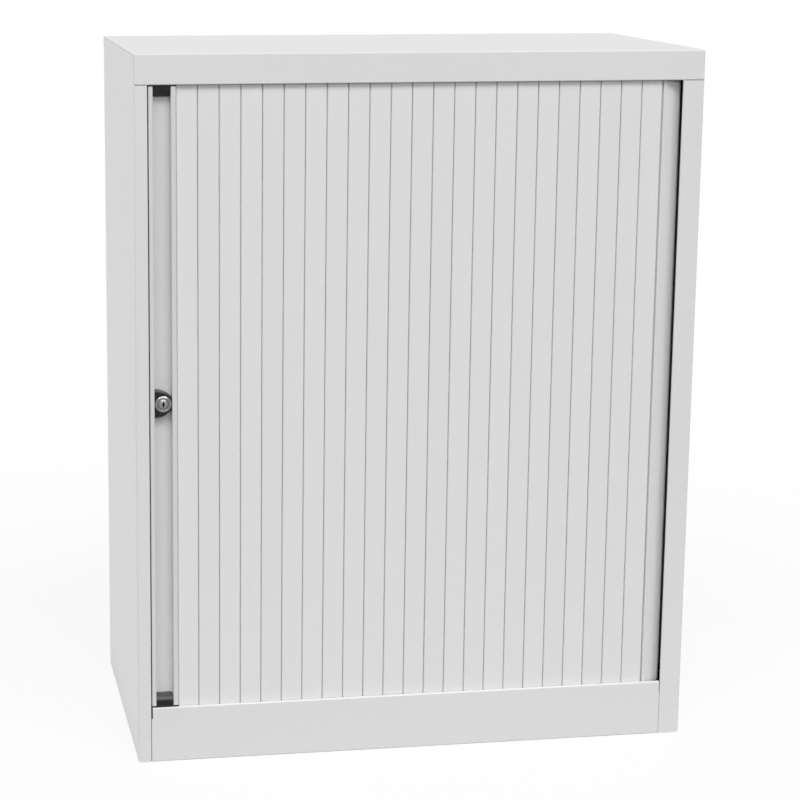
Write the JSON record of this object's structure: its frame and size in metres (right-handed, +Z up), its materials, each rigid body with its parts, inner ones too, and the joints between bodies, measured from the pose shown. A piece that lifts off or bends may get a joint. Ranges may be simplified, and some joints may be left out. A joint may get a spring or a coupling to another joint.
{
  "type": "side-opening tambour cupboard",
  "caption": "Low office cupboard with a slatted tambour front that slides sideways, a recessed full-height pull with a cam lock, a plinth and shelves inside.",
  "frame": {"origin": "middle of the footprint, on the floor", "axes": "+X to the user's right along the front, +Y from front to back, +Z up"},
  "size_m": [0.8, 0.43, 1],
  "materials": {
    "carcass_paint": "light grey powder coat, fine texture",
    "shelf_paint": "light grey powder coat",
    "handle_paint": "light grey powder coat, satin",
    "upright_zinc": "zinc-plated, satin",
    "fixings": "zinc-plated",
    "track": "smooth grey extrusion",
    "slat": "light grey, fine satin",
    "black_moulding": "fine satin black",
    "lock_chrome": "polished nickel",
    "lock_plug": "nickel, satin",
    "buffer": "black rubber",
    "foot": "zinc-plated stud and pad"
  },
  "bodies": {
    "cabinet": {"left_side": "carcass_paint", "right_side": "carcass_paint", "top_panel": "carcass_paint", "back_panel": "carcass_paint", "base_panel": "carcass_paint", "head_panel": "carcass_paint", "plinth": "carcass_paint", "right_liner": "carcass_paint", "back_liner": "carcass_paint", "bottom_track": "track", "top_track": "track", "shelf_lower": "shelf_paint", "shelf_upper": "shelf_paint", "upright_front_left": "upright_zinc", "upright_front_right": "upright_zinc", "upright_rear_left": "upright_zinc", "upright_rear_right": "upright_zinc", "upright_screws": "fixings", "shelf_clips": "fixings", "foot_brackets": "fixings", "foot_nuts": "fixings", "lock_keeper": "fixings", "door_buffers": "buffer", "curtain_tail": "slat"},
    "door_handle": {"handle_profile": "handle_paint", "handle_top_cap": "black_moulding", "handle_bottom_cap": "black_moulding", "lock_housing": "black_moulding", "lock_barrel": "lock_chrome", "lock_nut": "fixings"},
    "lock_core": {"lock_plug": "lock_plug", "lock_cam": "fixings", "cam_screw": "fixings"},
    "slat_01": {"slat_01": "slat"},
    "slat_02": {"slat_02": "slat"},
    "slat_03": {"slat_03": "slat"},
    "slat_04": {"slat_04": "slat"},
    "slat_05": {"slat_05": "slat"},
    "slat_06": {"slat_06": "slat"},
    "slat_07": {"slat_07": "slat"},
    "slat_08": {"slat_08": "slat"},
    "slat_09": {"slat_09": "slat"},
    "slat_10": {"slat_10": "slat"},
    "slat_11": {"slat_11": "slat"},
    "slat_12": {"slat_12": "slat"},
    "slat_13": {"slat_13": "slat"},
    "slat_14": {"slat_14": "slat"},
    "slat_15": {"slat_15": "slat"},
    "slat_16": {"slat_16": "slat"},
    "slat_17": {"slat_17": "slat"},
    "slat_18": {"slat_18": "slat"},
    "slat_19": {"slat_19": "slat"},
    "slat_20": {"slat_20": "slat"},
    "slat_21": {"slat_21": "slat"},
    "slat_22": {"slat_22": "slat"},
    "slat_23": {"slat_23": "slat"},
    "foot_front_left": {"levelling_foot_front_left": "foot"},
    "foot_front_right": {"levelling_foot_front_right": "foot"},
    "foot_rear_left": {"levelling_foot_rear_left": "foot"},
    "foot_rear_right": {"levelling_foot_rear_right": "foot"}
  },
  "joints": [
    {"name": "door_slide", "type": "slide", "parent": "cabinet", "child": "door_handle", "axis": [1, 0, 0], "range_m": [0, 0.6831]},
    {"name": "slat_01_slide", "type": "slide", "parent": "cabinet", "child": "slat_01", "axis": [1, 0, 0], "range_m": [0, 0.6831], "deforming": ["slat_01"]},
    {"name": "slat_02_slide", "type": "slide", "parent": "cabinet", "child": "slat_02", "axis": [1, 0.0005, 0], "range_m": [0, 0.6544], "deforming": ["slat_02"]},
    {"name": "slat_03_slide", "type": "slide", "parent": "cabinet", "child": "slat_03", "axis": [1, 0.0011, 0], "range_m": [0, 0.6257], "deforming": ["slat_03"]},
    {"name": "slat_04_slide", "type": "slide", "parent": "cabinet", "child": "slat_04", "axis": [1, 0.0018, 0], "range_m": [0, 0.597], "deforming": ["slat_04"]},
    {"name": "slat_05_slide", "type": "slide", "parent": "cabinet", "child": "slat_05", "axis": [1, 0.0025, 0], "range_m": [0, 0.5683], "deforming": ["slat_05"]},
    {"name": "slat_06_slide", "type": "slide", "parent": "cabinet", "child": "slat_06", "axis": [1, 0.0032, 0], "range_m": [0, 0.5396], "deforming": ["slat_06"]},
    {"name": "slat_07_slide", "type": "slide", "parent": "cabinet", "child": "slat_07", "axis": [1, 0.0041, 0], "range_m": [0, 0.51091], "deforming": ["slat_07"]},
    {"name": "slat_08_slide", "type": "slide", "parent": "cabinet", "child": "slat_08", "axis": [1, 0.0051, 0], "range_m": [0, 0.48221], "deforming": ["slat_08"]},
    {"name": "slat_09_slide", "type": "slide", "parent": "cabinet", "child": "slat_09", "axis": [1, 0.0062, 0], "range_m": [0, 0.45351], "deforming": ["slat_09"]},
    {"name": "slat_10_slide", "type": "slide", "parent": "cabinet", "child": "slat_10", "axis": [1, 0.0074, 0], "range_m": [0, 0.42481], "deforming": ["slat_10"]},
    {"name": "slat_11_slide", "type": "slide", "parent": "cabinet", "child": "slat_11", "axis": [1, 0.0088, 0], "range_m": [0, 0.39612], "deforming": ["slat_11"]},
    {"name": "slat_12_slide", "type": "slide", "parent": "cabinet", "child": "slat_12", "axis": [0.9999, 0.0105, 0], "range_m": [0, 0.36742], "deforming": ["slat_12"]},
    {"name": "slat_13_slide", "type": "slide", "parent": "cabinet", "child": "slat_13", "axis": [0.9999, 0.0124, 0], "range_m": [0, 0.33873], "deforming": ["slat_13"]},
    {"name": "slat_14_slide", "type": "slide", "parent": "cabinet", "child": "slat_14", "axis": [0.9999, 0.0147, 0], "range_m": [0, 0.31003], "deforming": ["slat_14"]},
    {"name": "slat_15_slide", "type": "slide", "parent": "cabinet", "child": "slat_15", "axis": [0.9998, 0.0174, 0], "range_m": [0, 0.28134], "deforming": ["slat_15"]},
    {"name": "slat_16_slide", "type": "slide", "parent": "cabinet", "child": "slat_16", "axis": [0.9998, 0.0208, 0], "range_m": [0, 0.25266], "deforming": ["slat_16"]},
    {"name": "slat_17_slide", "type": "slide", "parent": "cabinet", "child": "slat_17", "axis": [0.9997, 0.025, 0], "range_m": [0, 0.22397], "deforming": ["slat_17"]},
    {"name": "slat_18_slide", "type": "slide", "parent": "cabinet", "child": "slat_18", "axis": [0.9995, 0.0305, 0], "range_m": [0, 0.19529], "deforming": ["slat_18"]},
    {"name": "slat_19_slide", "type": "slide", "parent": "cabinet", "child": "slat_19", "axis": [0.9993, 0.0378, 0], "range_m": [0, 0.16662], "deforming": ["slat_19"]},
    {"name": "slat_20_slide", "type": "slide", "parent": "cabinet", "child": "slat_20", "axis": [0.9988, 0.0482, 0], "range_m": [0, 0.13796], "deforming": ["slat_20"]},
    {"name": "slat_21_slide", "type": "slide", "parent": "cabinet", "child": "slat_21", "axis": [0.9979, 0.064, 0], "range_m": [0, 0.10933], "deforming": ["slat_21"]},
    {"name": "slat_22_slide", "type": "slide", "parent": "cabinet", "child": "slat_22", "axis": [0.9958, 0.091, 0], "range_m": [0, 0.08074], "deforming": ["slat_22"]},
    {"name": "slat_23_slide", "type": "slide", "parent": "cabinet", "child": "slat_23", "axis": [0.9891, 0.1473, 0], "range_m": [0, 0.05227], "deforming": ["slat_23"]},
    {"name": "lock_turn", "type": "hinge", "parent": "door_handle", "child": "lock_core", "pos_m": [-0.3611, -0.2, 0.5195], "axis": [0, 1, 0], "range_deg": [0, 90]},
    {"name": "foot_front_left_height", "type": "slide", "parent": "cabinet", "child": "foot_front_left", "axis": [0, 0, -1], "range_m": [0, 0.015]},
    {"name": "foot_front_right_height", "type": "slide", "parent": "cabinet", "child": "foot_front_right", "axis": [0, 0, -1], "range_m": [0, 0.015]},
    {"name": "foot_rear_left_height", "type": "slide", "parent": "cabinet", "child": "foot_rear_left", "axis": [0, 0, -1], "range_m": [0, 0.015]},
    {"name": "foot_rear_right_height", "type": "slide", "parent": "cabinet", "child": "foot_rear_right", "axis": [0, 0, -1], "range_m": [0, 0.015]}
  ],
  "couplings": [
    {"joint": "slat_01_slide", "follows": "door_slide", "ratio": 1},
    {"joint": "slat_02_slide", "follows": "door_slide", "ratio": 0.95799},
    {"joint": "slat_03_slide", "follows": "door_slide", "ratio": 0.91597},
    {"joint": "slat_04_slide", "follows": "door_slide", "ratio": 0.87396},
    {"joint": "slat_05_slide", "follows": "door_slide", "ratio": 0.83195},
    {"joint": "slat_06_slide", "follows": "door_slide", "ratio": 0.78993},
    {"joint": "slat_07_slide", "follows": "door_slide", "ratio": 0.74792},
    {"joint": "slat_08_slide", "follows": "door_slide", "ratio": 0.70591},
    {"joint": "slat_09_slide", "follows": "door_slide", "ratio": 0.6639},
    {"joint": "slat_10_slide", "follows": "door_slide", "ratio": 0.62189},
    {"joint": "slat_11_slide", "follows": "door_slide", "ratio": 0.57988},
    {"joint": "slat_12_slide", "follows": "door_slide", "ratio": 0.53787},
    {"joint": "slat_13_slide", "follows": "door_slide", "ratio": 0.49587},
    {"joint": "slat_14_slide", "follows": "door_slide", "ratio": 0.45386},
    {"joint": "slat_15_slide", "follows": "door_slide", "ratio": 0.41186},
    {"joint": "slat_16_slide", "follows": "door_slide", "ratio": 0.36986},
    {"joint": "slat_17_slide", "follows": "door_slide", "ratio": 0.32787},
    {"joint": "slat_18_slide", "follows": "door_slide", "ratio": 0.28589},
    {"joint": "slat_19_slide", "follows": "door_slide", "ratio": 0.24392},
    {"joint": "slat_20_slide", "follows": "door_slide", "ratio": 0.20196},
    {"joint": "slat_21_slide", "follows": "door_slide", "ratio": 0.16004},
    {"joint": "slat_22_slide", "follows": "door_slide", "ratio": 0.11819},
    {"joint": "slat_23_slide", "follows": "door_slide", "ratio": 0.076519}
  ]
}
